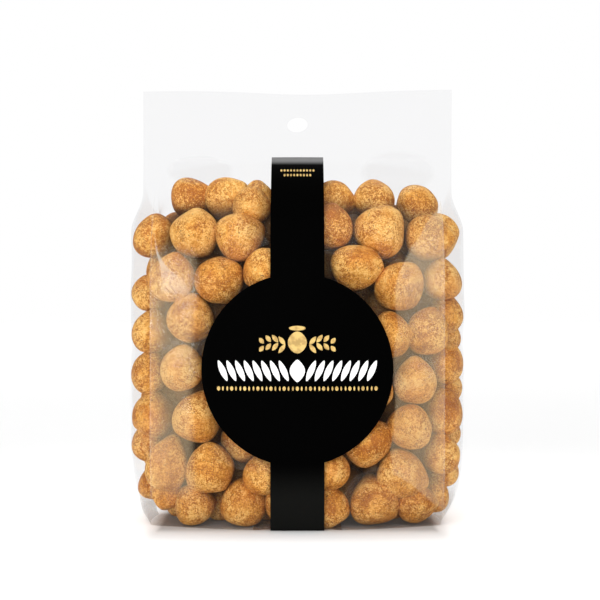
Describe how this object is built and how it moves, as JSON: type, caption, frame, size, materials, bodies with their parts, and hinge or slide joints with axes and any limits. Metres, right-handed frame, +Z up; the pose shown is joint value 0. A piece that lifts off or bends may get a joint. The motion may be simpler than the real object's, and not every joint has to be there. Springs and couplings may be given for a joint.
{
  "type": "bag of roasted nuts",
  "caption": "Clear gusseted film bag of roasted hazelnuts that stands on its flat bottom, with a flat punched header and a black paper band that widens to a disc.",
  "frame": {"origin": "on the surface the bag stands on, under the middle of its bounding box", "axes": "+X to the right when the front is faced, +Y from the front to the back, +Z up from the bottom to the header's top edge"},
  "size_m": [0.1198, 0.0562, 0.1536],
  "materials": {
    "nuts": "dull, mottled roasted skin",
    "film": "clear glossy packing film",
    "band_paper": "matte black card",
    "band_gold": "printed dull gold",
    "band_white": "printed white"
  },
  "bodies": {
    "root": {"bag": "nuts", "band": "band_paper"}
  },
  "joints": []
}
